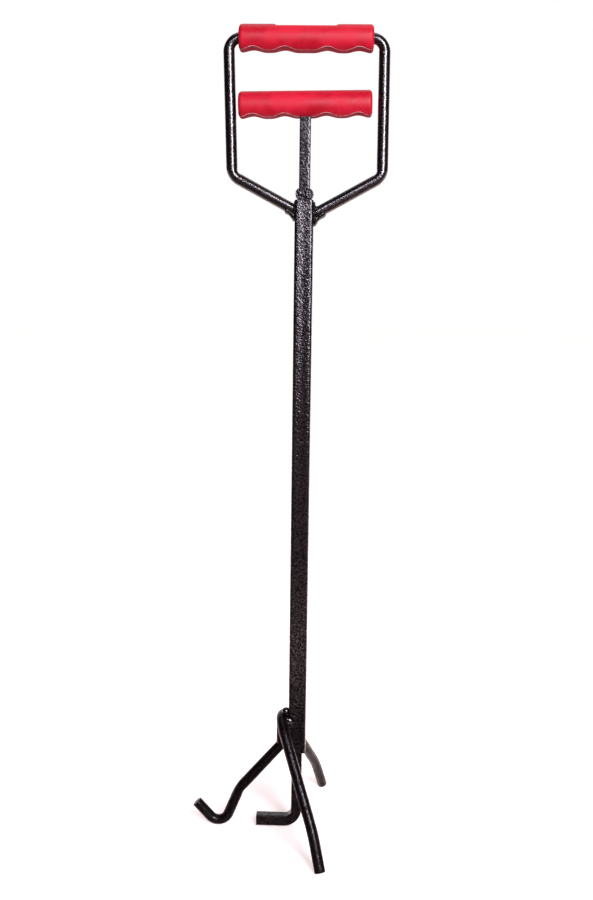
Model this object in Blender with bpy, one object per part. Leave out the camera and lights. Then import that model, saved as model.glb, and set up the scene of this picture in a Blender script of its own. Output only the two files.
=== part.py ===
"""Standing squeeze-handle gripping tool: a welded rod-and-tube frame with a D-handle, a tripod foot
and a bar that slides inside the tube and carries a finger grip above and a square foot below.

Frame: origin on the ground under the middle of the tool's outline, +Z up along the tube, -X towards
the hooked leg, -Y towards the front leg. Metres. Points below are written from the tube's axis.
"""

import math

import bmesh
import bpy
from mathutils import Matrix, Vector

# Clearance kept between pieces that touch on the real tool.
GAP = 0.0003

# The tube's axis stands this far to the right of the middle of the tool's outline.
AXIS_X = 0.01325

# Stock: 3/8 inch round rod and square bar, 5/8 inch square tube.
ROD_R = 0.0047625
BAR_W = 0.009525
BAR_EDGE_R = 0.0009
TUBE_W = 0.015875
TUBE_EDGE_R = 0.0021
TUBE_WALL = 0.0028
TUBE_BOTTOM = 0.0760
TUBE_TOP = 0.5721

# D-handle, one bent rod. Its top is centred a little left of its lower corners.
HANDLE_TOP_Z = 0.7030
HANDLE_TOP_HALF = 0.06476
HANDLE_TOP_X = 0.00005
HANDLE_LOW_Z = 0.5918
HANDLE_LOW_HALF = 0.06347
HANDLE_LOW_X = 0.0019
HANDLE_LEFT_JOINT_Z = 0.5614
HANDLE_RIGHT_JOINT_Z = 0.5580
HANDLE_TOP_BEND = 0.0108
HANDLE_LOW_BEND = 0.0110

# Grips.
GRIP_LEN = 0.1116
GRIP_R = 0.0116
GRIP_END_R = 0.0036
GRIP_BELOW = 0.0100
SCALLOP_DEPTH = 0.0024
SCALLOP_PITCH = 0.0265
SCALLOP_FIRST = 0.0175
SCALLOP_HALF = 0.0115
THUMB_FLAT_HALF = 0.0246
THUMB_FLAT_DEPTH = 0.0022
ROD_ABOVE_GRIP_CENTRE = 0.0008

# Sliding bar with its square foot and its crossbar.
SLIDE_GRIP_Z = 0.6496
SLIDE_GRIP_X = -0.0003
CROSSBAR_LEN = 0.1010
CROSSBAR_TILT = math.radians(1.0)
FOOT_BOTTOM = 0.0021
FOOT_END_X = -0.0372
FOOT_BEND = 0.0115
SEAT_WELD_THICK = 0.0022
STOP_X = 0.0043
STOP_Z = TUBE_TOP + 0.0048
STOP_RADII = (0.0034, 0.0066, 0.0050)

# Hooked leg, in the plane y = 0.
HOOK_TOP_Z = 0.1024
HOOK_LEG_X = -0.0143
HOOK_BEND_Z = 0.0817
HOOK_KNEE = (-0.0531, 0.0367)
HOOK_BOTTOM_X = -0.0729
HOOK_RADIUS = 0.0103
HOOK_TIP_ANGLE = math.radians(48.0)
HOOK_TIP_LEN = 0.0187
HOOK_TOP_BEND = 0.0065
HOOK_KNEE_BEND = 0.0340

# Fork: one V-bent rod whose bight is welded across the tube's left face.
FORK_VERTEX = Vector((-0.02140, 0.0, 0.12600))
FORK_KNEE = Vector((0.01676, -0.06691, 0.03113))
FORK_TIP = Vector((0.02377, -0.07988, 0.00214))
FORK_BIGHT_BEND = 0.0230
FORK_KNEE_BEND = 0.1000

ROUND_SEGMENTS = 20
ARC_STEP = math.radians(9.0)


def clear_scene():
    for obj in list(bpy.data.objects):
        bpy.data.objects.remove(obj, do_unlink=True)


def make_material(name, colour, roughness, metallic):
    material = bpy.data.materials.new(name)
    material.use_nodes = True
    shader = material.node_tree.nodes["Principled BSDF"]
    shader.inputs["Base Color"].default_value = (*colour, 1.0)
    shader.inputs["Roughness"].default_value = roughness
    shader.inputs["Metallic"].default_value = metallic
    return material


def add_object(name, mesh_builder, material, smooth_angle=40.0):
    """Turns a bmesh into a named, shaded object."""
    bmesh.ops.recalc_face_normals(mesh_builder, faces=mesh_builder.faces)
    mesh = bpy.data.meshes.new(name)
    mesh_builder.to_mesh(mesh)
    mesh_builder.free()
    mesh.shade_smooth()
    mesh.set_sharp_from_angle(angle=math.radians(smooth_angle))
    if material:
        mesh.materials.append(material)
    obj = bpy.data.objects.new(name, mesh)
    bpy.context.scene.collection.objects.link(obj)
    return obj


def as_cutter(obj):
    obj.hide_render = True
    obj.display_type = "WIRE"
    return obj


def cut(obj, *cutters):
    for cutter in cutters:
        modifier = obj.modifiers.new("cut_" + cutter.name, "BOOLEAN")
        modifier.operation = "DIFFERENCE"
        modifier.solver = "EXACT"
        modifier.object = cutter


def rounded_path(corners, bends):
    """The corner points joined by straight runs, with an arc of the given radius at each inner corner."""
    points = [Vector(corners[0])]
    for i in range(1, len(corners) - 1):
        here = Vector(corners[i])
        back = (Vector(corners[i - 1]) - here).normalized()
        ahead = (Vector(corners[i + 1]) - here).normalized()
        turn = math.pi - back.angle(ahead)
        inward = (back + ahead).normalized()
        radius = bends[i - 1]
        centre = here + inward * (radius / math.cos(turn / 2))
        axis = (-back).cross(ahead).normalized()
        start = here + back * (radius * math.tan(turn / 2)) - centre
        steps = max(2, math.ceil(turn / ARC_STEP))
        for k in range(steps + 1):
            points.append(centre + Matrix.Rotation(turn * k / steps, 3, axis) @ start)
    points.append(Vector(corners[-1]))
    return points


def mitred_ring(builder, point, section, side, into, out):
    """The section's points in the plane that halves the corner between two path directions."""
    tangent = (into + out).normalized()
    other = tangent.cross(side)
    inward = (out - into).normalized()
    stretch = 1.0 / tangent.dot(into) - 1.0
    ring = []
    for u, v in section:
        offset = side * u + other * v
        ring.append(builder.verts.new(point + offset + inward * offset.dot(inward) * stretch))
    return ring


def sweep(path, section, side):
    """A closed solid: a 2-D section carried along the path without twist. side is its first axis."""
    builder = bmesh.new()
    into = (path[1] - path[0]).normalized()
    side = (side - into * side.dot(into)).normalized()
    rings = []
    for point, after in zip(path, path[1:] + [path[-1]]):
        out = (after - point).normalized() if after != point else into
        tangent = (into + out).normalized()
        side = (into.rotation_difference(tangent) @ side).normalized()
        rings.append(mitred_ring(builder, point, section, side, into, out))
        side = (tangent.rotation_difference(out) @ side).normalized()
        into = out
    count = len(section)
    for first, second in zip(rings, rings[1:]):
        for k in range(count):
            after = (k + 1) % count
            builder.faces.new((first[k], first[after], second[after], second[k]))
    builder.faces.new(list(reversed(rings[0])))
    builder.faces.new(rings[-1])
    return builder


def circle(radius, segments=ROUND_SEGMENTS):
    return [
        (radius * math.cos(2 * math.pi * k / segments), radius * math.sin(2 * math.pi * k / segments))
        for k in range(segments)
    ]


def rounded_square(width, edge_radius, steps=3):
    points = []
    flat = width / 2 - edge_radius
    for corner in range(4):
        middle = math.pi / 4 + corner * math.pi / 2
        centre = (math.copysign(flat, math.cos(middle)), math.copysign(flat, math.sin(middle)))
        for k in range(steps + 1):
            angle = corner * math.pi / 2 + k * math.pi / 2 / steps
            reach = (edge_radius * math.cos(angle), edge_radius * math.sin(angle))
            points.append((centre[0] + reach[0], centre[1] + reach[1]))
    return points


def rod(name, corners, bends, material, radius=ROD_R, side=Vector((0, 1, 0))):
    return add_object(name, sweep(rounded_path(corners, bends), circle(radius), side), material)


def box(name, low, high):
    """A plain cutter box between two corners."""
    builder = bmesh.new()
    bmesh.ops.create_cube(builder, size=1.0)
    low, high = Vector(low), Vector(high)
    bmesh.ops.scale(builder, vec=high - low, verts=builder.verts)
    bmesh.ops.translate(builder, vec=(low + high) / 2, verts=builder.verts)
    return as_cutter(add_object(name, builder, None))


def weld_bead(name, centre, radii, material, lumps=0.07):
    """A lumpy ellipsoid of weld metal, before its neighbours are cut from it."""
    builder = bmesh.new()
    bmesh.ops.create_icosphere(builder, subdivisions=2, radius=1.0)
    for vert in builder.verts:
        x, y, z = vert.co
        wave = math.sin(4.1 * x + 2.0 * z) * math.cos(3.7 * y - 1.3) + 0.5 * math.sin(6.3 * z + 1.1)
        swell = 1.0 + lumps * wave
        vert.co = Vector((x * radii[0], y * radii[1], z * radii[2])) * swell + Vector(centre)
    return add_object(name, builder, material, smooth_angle=60.0)


def handle_corners():
    """The D-handle's corner points, from the left joint up, over and down to the right joint."""
    low_left = Vector((HANDLE_LOW_X - HANDLE_LOW_HALF, 0, HANDLE_LOW_Z))
    low_right = Vector((HANDLE_LOW_X + HANDLE_LOW_HALF, 0, HANDLE_LOW_Z))
    top_left = Vector((HANDLE_TOP_X - HANDLE_TOP_HALF, 0, HANDLE_TOP_Z))
    top_right = Vector((HANDLE_TOP_X + HANDLE_TOP_HALF, 0, HANDLE_TOP_Z))
    left_joint = Vector((-TUBE_W / 4, 0, HANDLE_LEFT_JOINT_Z))
    right_joint = Vector((TUBE_W / 4, 0, HANDLE_RIGHT_JOINT_Z))
    return [left_joint, low_left, top_left, top_right, low_right, right_joint]


HANDLE_BENDS = (HANDLE_LOW_BEND, HANDLE_TOP_BEND, HANDLE_TOP_BEND, HANDLE_LOW_BEND)


def hook_corners():
    """The hooked leg: down the tube, out to the knee, round the hook and up to the tip."""
    top = Vector((HOOK_LEG_X, 0, HOOK_TOP_Z))
    bend = Vector((HOOK_LEG_X, 0, HOOK_BEND_Z))
    knee = Vector((HOOK_KNEE[0], 0, HOOK_KNEE[1]))
    tip_way = Vector((-math.cos(HOOK_TIP_ANGLE), 0, math.sin(HOOK_TIP_ANGLE)))
    centre = Vector((HOOK_BOTTOM_X, 0, ROD_R + HOOK_RADIUS))
    to_knee = knee - centre
    # The straight from the knee touches the hook's arc on its right-hand side.
    spread = math.acos(HOOK_RADIUS / to_knee.length)
    touch = centre + (Matrix.Rotation(spread, 3, "Y") @ to_knee.normalized()) * HOOK_RADIUS
    arc_end = centre + Vector((-tip_way.z, 0, tip_way.x)) * HOOK_RADIUS
    leg_way = (touch - knee).normalized()
    turn = leg_way.angle(tip_way)
    corner = arc_end - tip_way * (HOOK_RADIUS * math.tan(turn / 2))
    tip = arc_end + tip_way * HOOK_TIP_LEN
    return [top, bend, knee, corner, tip]


HOOK_BENDS = (HOOK_TOP_BEND, HOOK_KNEE_BEND, HOOK_RADIUS)


def mirrored(point):
    return Vector((point.x, -point.y, point.z))


def fork_corners():
    """The fork: front tip, front knee, bight, rear knee, rear tip."""
    return [FORK_TIP, FORK_KNEE, FORK_VERTEX, mirrored(FORK_KNEE), mirrored(FORK_TIP)]


FORK_BENDS = (FORK_KNEE_BEND, FORK_BIGHT_BEND, FORK_KNEE_BEND)


def make_tube(material):
    """Square tube with an open bore for the sliding bar."""
    path = [Vector((0, 0, TUBE_BOTTOM)), Vector((0, 0, TUBE_TOP))]
    tube = add_object(
        "outer_tube", sweep(path, rounded_square(TUBE_W, TUBE_EDGE_R, 4), Vector((1, 0, 0))), material
    )
    inner = TUBE_W - 2 * TUBE_WALL
    bore_path = [Vector((0, 0, TUBE_BOTTOM - 0.01)), Vector((0, 0, TUBE_TOP + 0.01))]
    bore = sweep(bore_path, rounded_square(inner, 0.0006, 2), Vector((1, 0, 0)))
    cut(tube, as_cutter(add_object("cut_bore", bore, None)))
    return tube


def scallop_profile():
    """Height of the grip's underside along its length, below its centre line, as (x, z) points."""
    centres = [side * (SCALLOP_FIRST + i * SCALLOP_PITCH) for side in (-1, 1) for i in (0, 1)]
    points = []
    steps = 72
    for k in range(steps + 1):
        x = (k / steps - 0.5) * (GRIP_LEN + 0.004)
        rise = 0.0
        for centre in centres:
            reach = abs(x - centre) / SCALLOP_HALF
            if reach < 1.0:
                rise = max(rise, SCALLOP_DEPTH * 0.5 * (1.0 + math.cos(math.pi * reach)))
        points.append((x, rise - GRIP_BELOW))
    return points


def prism(name, outline, depth):
    """A cutter whose outline in X and Z is extruded along Y."""
    builder = bmesh.new()
    front = [builder.verts.new((x, -depth, z)) for x, z in outline]
    back = [builder.verts.new((x, depth, z)) for x, z in outline]
    count = len(outline)
    for k in range(count):
        builder.faces.new((front[k], front[(k + 1) % count], back[(k + 1) % count], back[k]))
    builder.faces.new(list(reversed(front)))
    builder.faces.new(back)
    return as_cutter(add_object(name, builder, None))


def grip_body(name, material):
    """A round bar along X with rounded ends, turned from its outline."""
    builder = bmesh.new()
    half = GRIP_LEN / 2
    outline = []
    for end in (-1, 1):
        for k in range(6):
            angle = math.pi / 2 * (k / 5 if end < 0 else 1 - k / 5)
            along = end * (half - GRIP_END_R + GRIP_END_R * math.cos(angle))
            outline.append((along, GRIP_R - GRIP_END_R + GRIP_END_R * math.sin(angle)))
    segments = 36
    rings = []
    for along, radius in outline:
        angles = [2 * math.pi * k / segments for k in range(segments)]
        points = [(along, radius * math.cos(a), radius * math.sin(a)) for a in angles]
        rings.append([builder.verts.new(point) for point in points])
    for first, second in zip(rings, rings[1:]):
        for k in range(segments):
            after = (k + 1) % segments
            builder.faces.new((first[k], second[k], second[after], first[after]))
    builder.faces.new(rings[0])
    builder.faces.new(list(reversed(rings[-1])))
    return add_object(name, builder, material)


def make_grip(name, material, thumb_flat):
    """Moulded grip at the origin: four finger scallops underneath, and a thumb flat on top or none."""
    grip = grip_body(name, material)
    under = scallop_profile()
    outline = under + [(under[-1][0], -0.03), (under[0][0], -0.03)]
    cut(grip, prism("cut_scallops_" + name, outline, 0.03))
    if thumb_flat:
        level = GRIP_R - THUMB_FLAT_DEPTH
        ramp = 0.0015
        flat = [
            (-THUMB_FLAT_HALF - ramp, 0.03),
            (-THUMB_FLAT_HALF - ramp, GRIP_R + 0.0002),
            (-THUMB_FLAT_HALF, level),
            (THUMB_FLAT_HALF, level),
            (THUMB_FLAT_HALF + ramp, GRIP_R + 0.0002),
            (THUMB_FLAT_HALF + ramp, 0.03),
        ]
        cut(grip, prism("cut_flat_" + name, flat, 0.03))
    return grip


def place(objects, matrix):
    for obj in objects:
        obj.matrix_world = matrix @ obj.matrix_world


def make_top_grip(material):
    """Palm grip on the D-handle's top rod."""
    grip = make_grip("top_grip", material, thumb_flat=True)
    spot = Vector((HANDLE_TOP_X - 0.0002, 0, HANDLE_TOP_Z - ROD_ABOVE_GRIP_CENTRE))
    cutters = [modifier.object for modifier in grip.modifiers]
    place([grip, *cutters], Matrix.Translation(spot))
    clearance = rod("cut_handle", handle_corners(), HANDLE_BENDS, None, ROD_R + GAP)
    cut(grip, as_cutter(clearance))


def crossbar_frame():
    """Place and tilt of the slide's crossbar."""
    spot = Vector((SLIDE_GRIP_X, 0, SLIDE_GRIP_Z + ROD_ABOVE_GRIP_CENTRE))
    return Matrix.Translation(spot) @ Matrix.Rotation(-CROSSBAR_TILT, 4, "Y")


def crossbar_ends(length):
    frame = crossbar_frame()
    return [frame @ Vector((-length / 2, 0, 0)), frame @ Vector((length / 2, 0, 0))]


def bar_top():
    """Height of the sliding bar's top face, under the crossbar and its weld."""
    return SLIDE_GRIP_Z + ROD_ABOVE_GRIP_CENTRE - ROD_R - SEAT_WELD_THICK


def make_slide_grip(material):
    """Finger grip over the crossbar, with closed ends and a square hole for the bar underneath."""
    grip = make_grip("slide_grip", material, thumb_flat=False)
    cutters = [modifier.object for modifier in grip.modifiers]
    shift = Matrix.Translation(Vector((0, 0, -ROD_ABOVE_GRIP_CENTRE)))
    place([grip, *cutters], crossbar_frame() @ shift)
    bore = rod("cut_crossbar", crossbar_ends(CROSSBAR_LEN + 2 * GAP), (), None, ROD_R + GAP)
    half = BAR_W / 2 + GAP
    hole = box("cut_bar_hole", (-half, -half, SLIDE_GRIP_Z - 0.03), (half, half, SLIDE_GRIP_Z))
    cut(grip, as_cutter(bore), hole)


def make_crossbar(material):
    rod("crossbar", crossbar_ends(CROSSBAR_LEN), (), material)


def make_crossbar_weld(material):
    """Weld metal between the bar's top face and the crossbar's underside."""
    half = BAR_W / 2 - 0.0002
    path = [Vector((0, 0, bar_top() + GAP)), Vector((0, 0, SLIDE_GRIP_Z + 0.001))]
    body = sweep(path, rounded_square(2 * half, 0.0009), Vector((1, 0, 0)))
    weld = add_object("crossbar_weld", body, material)
    clearance = rod("cut_crossbar_seat", crossbar_ends(CROSSBAR_LEN), (), None, ROD_R + GAP)
    seat_z = SLIDE_GRIP_Z - 0.0012
    above = box("cut_above_seat", (-0.02, -0.02, seat_z), (0.02, 0.02, seat_z + 0.02))
    cut(weld, as_cutter(clearance), above)


def make_slide_bar(material):
    """Square bar through the tube, bent at the bottom into a foot that points to the hooked leg."""
    centre_z = FOOT_BOTTOM + BAR_W / 2
    corners = [Vector((0, 0, bar_top())), Vector((0, 0, centre_z)), Vector((FOOT_END_X, 0, centre_z))]
    path = rounded_path(corners, (FOOT_BEND,))
    section = rounded_square(BAR_W, BAR_EDGE_R)
    return add_object("slide_bar", sweep(path, section, Vector((1, 0, 0))), material, smooth_angle=35.0)


def make_stops(material, tube_envelope):
    """Two weld buttons that wrap the bar's corners and rest on the tube's rim."""
    half = BAR_W / 2 + GAP
    for side, name in ((-1, "stop_bead_left"), (1, "stop_bead_right")):
        bead = weld_bead(name, (side * STOP_X, 0, STOP_Z), STOP_RADII, material, lumps=0.03)
        clearance = box("cut_bar_" + name, (-half, -half, TUBE_TOP - 0.02), (half, half, TUBE_TOP + 0.03))
        cut(bead, clearance, tube_envelope)


def make_handle_welds(material, tube_envelope):
    clearance = as_cutter(rod("cut_arms", handle_corners(), HANDLE_BENDS, None, ROD_R + GAP))
    left = weld_bead("handle_weld_left", (-0.0090, 0, 0.5606), (0.0042, 0.0074, 0.0080), material)
    right = weld_bead("handle_weld_right", (0.0092, 0, 0.5592), (0.0052, 0.0074, 0.0094), material, 0.09)
    for bead in (left, right):
        cut(bead, tube_envelope, clearance)


def make_leg_welds(material, tube_envelope):
    fork_room = as_cutter(rod("cut_fork", fork_corners(), FORK_BENDS, None, ROD_R + GAP))
    hook_room = as_cutter(rod("cut_hook", hook_corners(), HOOK_BENDS, None, ROD_R + GAP))
    for side, end in ((-1, "front"), (1, "rear")):
        fork_bead = weld_bead(
            "fork_weld_" + end, (-0.0103, side * 0.0072, 0.1095), (0.0042, 0.0046, 0.0056), material, 0.09
        )
        hook_bead = weld_bead(
            "hook_weld_" + end, (-0.0104, side * 0.0044, 0.0905), (0.0030, 0.0030, 0.0098), material, 0.06
        )
        cut(fork_bead, tube_envelope, fork_room, hook_room)
        cut(hook_bead, tube_envelope, fork_room, hook_room)


def hang_on_axes(moving):
    """Parents every piece and cutter to an empty on the tube's axis: moving ones to the slide's own."""
    axes = {}
    for name in ("frame_axis", "slide_axis"):
        axes[name] = bpy.data.objects.new(name, None)
        axes[name].location = (AXIS_X, 0, 0)
    for obj in list(bpy.context.scene.collection.objects):
        obj.parent = axes["slide_axis" if obj.name in moving else "frame_axis"]
    for axis in axes.values():
        bpy.context.scene.collection.objects.link(axis)


def main():
    clear_scene()
    paint = make_material("black_hammertone", (0.028, 0.024, 0.030), 0.38, 0.55)
    vinyl = make_material("red_vinyl", (0.70, 0.012, 0.045), 0.42, 0.0)

    make_tube(paint)
    half = TUBE_W / 2 + GAP
    tube_envelope = box("cut_tube", (-half, -half, TUBE_BOTTOM - 0.01), (half, half, TUBE_TOP + GAP))

    handle = rod("handle_rod", handle_corners(), HANDLE_BENDS, paint)
    cut(handle, tube_envelope)
    make_top_grip(vinyl)
    rod("hook_leg", hook_corners(), HOOK_BENDS, paint)
    rod("fork_legs", fork_corners(), FORK_BENDS, paint, side=Vector((1, 0, 0)))
    make_handle_welds(paint, tube_envelope)
    make_leg_welds(paint, tube_envelope)

    make_slide_bar(paint)
    make_crossbar(paint)
    make_crossbar_weld(paint)
    make_slide_grip(vinyl)
    make_stops(paint, tube_envelope)
    moving = ("slide_bar", "crossbar", "crossbar_weld", "slide_grip", "stop_bead_left", "stop_bead_right")
    hang_on_axes(moving)


main()
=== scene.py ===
"""Looks of the standing squeeze-handle gripping tool: hammertone-painted rod, bar and tube, lumpy weld
beads and moulded red vinyl grips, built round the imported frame. Metres, in the frame's axes.
"""

import math
import random

import bmesh
import bpy
from mathutils import Matrix, Vector


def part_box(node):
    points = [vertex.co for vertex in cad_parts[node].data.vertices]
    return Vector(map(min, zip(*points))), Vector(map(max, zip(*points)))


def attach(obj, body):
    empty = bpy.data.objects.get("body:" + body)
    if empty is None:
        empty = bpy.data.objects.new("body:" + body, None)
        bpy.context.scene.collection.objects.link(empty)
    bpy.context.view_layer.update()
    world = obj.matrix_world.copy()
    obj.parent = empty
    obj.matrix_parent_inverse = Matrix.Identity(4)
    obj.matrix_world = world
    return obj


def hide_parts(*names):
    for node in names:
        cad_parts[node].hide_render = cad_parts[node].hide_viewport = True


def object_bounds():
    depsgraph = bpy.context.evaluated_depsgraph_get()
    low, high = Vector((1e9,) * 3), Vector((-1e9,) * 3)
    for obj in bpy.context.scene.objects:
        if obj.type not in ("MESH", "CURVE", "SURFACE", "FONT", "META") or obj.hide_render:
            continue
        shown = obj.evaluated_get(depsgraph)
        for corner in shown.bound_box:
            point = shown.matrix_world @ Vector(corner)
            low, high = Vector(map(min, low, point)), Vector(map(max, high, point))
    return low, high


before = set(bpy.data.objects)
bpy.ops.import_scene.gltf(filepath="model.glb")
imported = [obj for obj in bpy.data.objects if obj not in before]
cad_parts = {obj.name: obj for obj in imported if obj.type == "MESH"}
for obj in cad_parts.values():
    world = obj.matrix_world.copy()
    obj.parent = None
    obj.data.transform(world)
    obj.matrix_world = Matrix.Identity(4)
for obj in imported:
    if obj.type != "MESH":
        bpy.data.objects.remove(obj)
CAD_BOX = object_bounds()

# The tube and the rods, measured on the frame.
TUBE_LOW, TUBE_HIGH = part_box("outer_tube")
AXIS_X = (TUBE_LOW.x + TUBE_HIGH.x) / 2
TUBE_W = TUBE_HIGH.y - TUBE_LOW.y
TUBE_BOTTOM = TUBE_LOW.z
TUBE_TOP = TUBE_HIGH.z
HANDLE_LOW, HANDLE_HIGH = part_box("handle_rod")
ROD_R = (HANDLE_HIGH.y - HANDLE_LOW.y) / 2
BAR_LOW, BAR_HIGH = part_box("slide_bar")
BAR_W = BAR_HIGH.y - BAR_LOW.y
GRIP_LOW, GRIP_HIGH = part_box("top_grip")
GRIP_LEN = GRIP_HIGH.x - GRIP_LOW.x
GRIP_R = (GRIP_HIGH.y - GRIP_LOW.y) / 2
SLIDE_LOW, SLIDE_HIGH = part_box("slide_grip")
FLOOR_Z = CAD_BOX[0][2]

# Square tube and bar: rounded corners, tube faces that sink a little, bar faces rolled off at one side.
TUBE_EDGE_R = 0.0023
TUBE_SINK = 0.00030
TUBE_WALL = 0.0028
TUBE_BORE_EDGE_R = 0.0006
TUBE_RIM_R = 0.0006
TUBE_RIM_STEPS = 4
BAR_EDGE_R = 0.0009
BAR_ROLL = 0.00028

# How much a bend flattens the rod on its inside and outside, and widens it, against the pinch asked for.
PINCH_INSIDE = 1.25
PINCH_OUTSIDE = 0.55
PINCH_SPREAD = 0.35

# D-handle. x is from the tube's axis.
HANDLE_TOP_Z = HANDLE_HIGH.z - ROD_R
HANDLE_TOP_HALF = 0.06476
HANDLE_TOP_X = 0.00005
HANDLE_LOW_Z = 0.5918
HANDLE_LOW_HALF = 0.06347
HANDLE_LOW_X = 0.0019
HANDLE_LEFT_JOINT_Z = 0.5614
HANDLE_RIGHT_JOINT_Z = 0.5580
HANDLE_TOP_BEND = 0.0108
HANDLE_LOW_BEND = 0.0110
HANDLE_SEAT_GAP = 0.0002
HANDLE_PINCH = 0.09

# Grips. The point ranges count round a grip's section from the middle of its underside: first the flat
# underside, then its rounded edge, which holds a painted highlight line, the side, and the top's edge and
# flat.
GRIP_END_R = 0.0030
GRIP_EDGE_R = 0.0007
GRIP_BELOW = 0.0100
GRIP_TOP_TRIM = 0.00003
GRIP_RUN_STEPS = 110
GRIP_END_STEPS = 8
UNDERSIDE_STEPS = 8
LOW_EDGE_STEPS = 5
SIDE_STEPS = 30
TOP_STEPS = 3
EDGE_HIGHLIGHT_POINTS = range(UNDERSIDE_STEPS + 2, UNDERSIDE_STEPS + LOW_EDGE_STEPS)
UNDERSIDE_POINTS = range(-UNDERSIDE_STEPS, UNDERSIDE_STEPS + 1)
GRIP_SHADING_ANGLE = 50.0
ROD_ABOVE_GRIP_CENTRE = 0.0008
PALM_BORE_GAP = 0.0001
FINGER_BORE_GAP = 0.0002
WELL_EDGE_R = 0.001
WELL_DEPTHS = (0.0, -0.01, -0.03)
SCALLOP_DEPTH = 0.0025
SCALLOP_PITCH = 0.0265
SCALLOP_FIRST = 0.0175
SCALLOP_HALF = 0.0115
THUMB_FLAT_HALF = 0.0246
THUMB_FLAT_DEPTH = 0.0022
THUMB_FLAT_RAMP = 0.0022
CROSSBAR_TILT = math.radians(1.0)
CROSSBAR_LEN = 0.1010
SLIDE_GRIP_X = -0.0003
SLIDE_GRIP_Z = (SLIDE_LOW.z + SLIDE_HIGH.z) / 2 - (GRIP_R - GRIP_BELOW) / 2

# Sliding bar's foot.
FOOT_END_X = BAR_LOW.x - AXIS_X
FOOT_Z = BAR_LOW.z + BAR_W / 2
FOOT_BEND = 0.0115
FOOT_PINCH = 0.07

# Hooked leg, in the plane y = 0. x is from the tube's axis.
HOOK_TOP_Z = 0.1024
HOOK_LEG_X = -0.0143
HOOK_BEND_Z = 0.0817
HOOK_KNEE = Vector((-0.0531, 0, 0.0367))
HOOK_BOTTOM_X = -0.0729
HOOK_RADIUS = 0.0103
HOOK_TIP_ANGLE = math.radians(48.0)
HOOK_TIP_LEN = 0.0187
HOOK_TOP_BEND = 0.0065
HOOK_KNEE_BEND = 0.0340
HOOK_PINCH = 0.07

# Fork: one V-bent rod round the tube's left face. x is from the tube's axis.
FORK_VERTEX = Vector((-0.02140, 0.0, 0.12600))
FORK_KNEE = Vector((0.01676, -0.06691, 0.03113))
FORK_TIP = Vector((0.02377, -0.07988, 0.00214))
FORK_BIGHT_BEND = 0.0230
FORK_KNEE_BEND = 0.1000
FORK_PINCH = 0.04

# Rounded edges at the ends of the rods and the bar.
CUT_EDGE_STEPS = 3
CUT_EDGE_R = 0.0005
LEG_TIP_R = 0.0007
BAR_END_R = 0.0006

# Handle welds, on each arm's seat: drop sizes, and how far the gusset reaches out and down. A gusset's drop
# sinks into the arm, stands proud of the tube and is stretched sideways by shares of its size.
SEAT_DROPS = 18
SEAT_RING_Y = 0.0046
SEAT_RING_Z = 0.0052
SEAT_PROUD = 0.0004
GUSSET_ROWS = 7
GUSSET_ROW_GAP = 0.0030
GUSSET_SIDE_RISE = 0.0009
GUSSET_ARM_SINK = 0.35
GUSSET_TUBE_PROUD = 0.3
GUSSET_STRETCH = 1.25
LEFT_SEAT_SIZE = 0.0015
LEFT_GUSSET = (0.0058, 0.0089, 0.0019)
LEFT_LUMPS = (((-0.0002, -0.0005, 0.0062), (0.0010, 0.0034, 0.0024)),)
RIGHT_SEAT_SIZE = 0.0018
RIGHT_GUSSET = (0.0072, 0.0098, 0.0023)
RIGHT_LUMPS = (
    ((0.0026, -0.0012, 0.0050), (0.0024, 0.0034, 0.0024)),
    ((0.0005, -0.0008, 0.0080), (0.0014, 0.0042, 0.0030)),
)

# Stop beads: a body, a button on the bar's front and rear face, and drops round each button's edge.
STOP_X = 0.0042
STOP_RISE = 0.0049
STOP_BODY = (0.0030, 0.0058, 0.0045)
STOP_BUTTON = (0.0030, 0.0018, 0.0044)
STOP_BUTTON_Y = 0.0044
STOP_DROPS = 12
STOP_RING = (0.0026, 0.0011, 0.0038)
STOP_DROP_R = 0.0009

# Leg welds: drops along the fork where it passes the tube's corner, two lumps, and a run on the hook. A
# fork drop lies part of the way from the rod's centre to a line a little inside the tube's corner.
FORK_WELD_SPAN = (0.0020, 0.0150)
FORK_WELD_INSET = (0.0012, 0.0004)
FORK_WELD_SAG = 0.0012
FORK_WELD_SHARE = 0.70
FORK_WELD_DROP_R = 0.0027
FORK_WELD_STRETCH = 1.25
CORNER_LUMP = (-0.0080, 0.0100, 0.1064)
CORNER_LUMP_RADII = (0.0058, 0.0022, 0.0050)
BIGHT_LUMP = (-0.0105, 0.0032, 0.1138)
BIGHT_LUMP_RADII = (0.0036, 0.0036, 0.0034)
BIGHT_LUMP_TILT = 0.0014
HOOK_WELD_DROPS = 9
HOOK_WELD_DROP_R = 0.0019
HOOK_WELD_START = (-0.0102, 0.0044, 0.0835)
HOOK_WELD_PITCH = 0.0018

# Paint. cell and relief are the grain's width and depth, film is the clear film's IOR, wet its roughness,
# pits the film's share left in the dimples, and flake the brightness of the metal flake under it.
PAINTS = {
    "body": {"relief": 0.00038, "film": 1.63, "wet": 0.10},
    "rods": {"relief": 0.00018, "film": 1.76, "pits": 0.50},
    "legs": {"cell": 0.0018, "relief": 0.00020, "film": 1.26, "flake": 0.008, "wet": 0.05},
    "bar": {"relief": 0.00030, "film": 1.47},
    "joints": {"cell": 0.0018, "relief": 0.00014, "film": 1.40, "flake": 0.005},
    "leg_welds": {"cell": 0.0022, "relief": 0.00010, "film": 1.68, "wet": 0.06, "pits": 0.50},
}
FLAKE_DARK = (0.28, 0.18, 0.22)
FLAKE_LIGHT = (1.40, 0.96, 1.10)

# Vinyl. The pale colour is a painted highlight along the grips' lower edge, between side and underside.
RED_DEEP = (0.330, 0.001, 0.011)
RED_FULL = (0.445, 0.003, 0.020)
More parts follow.
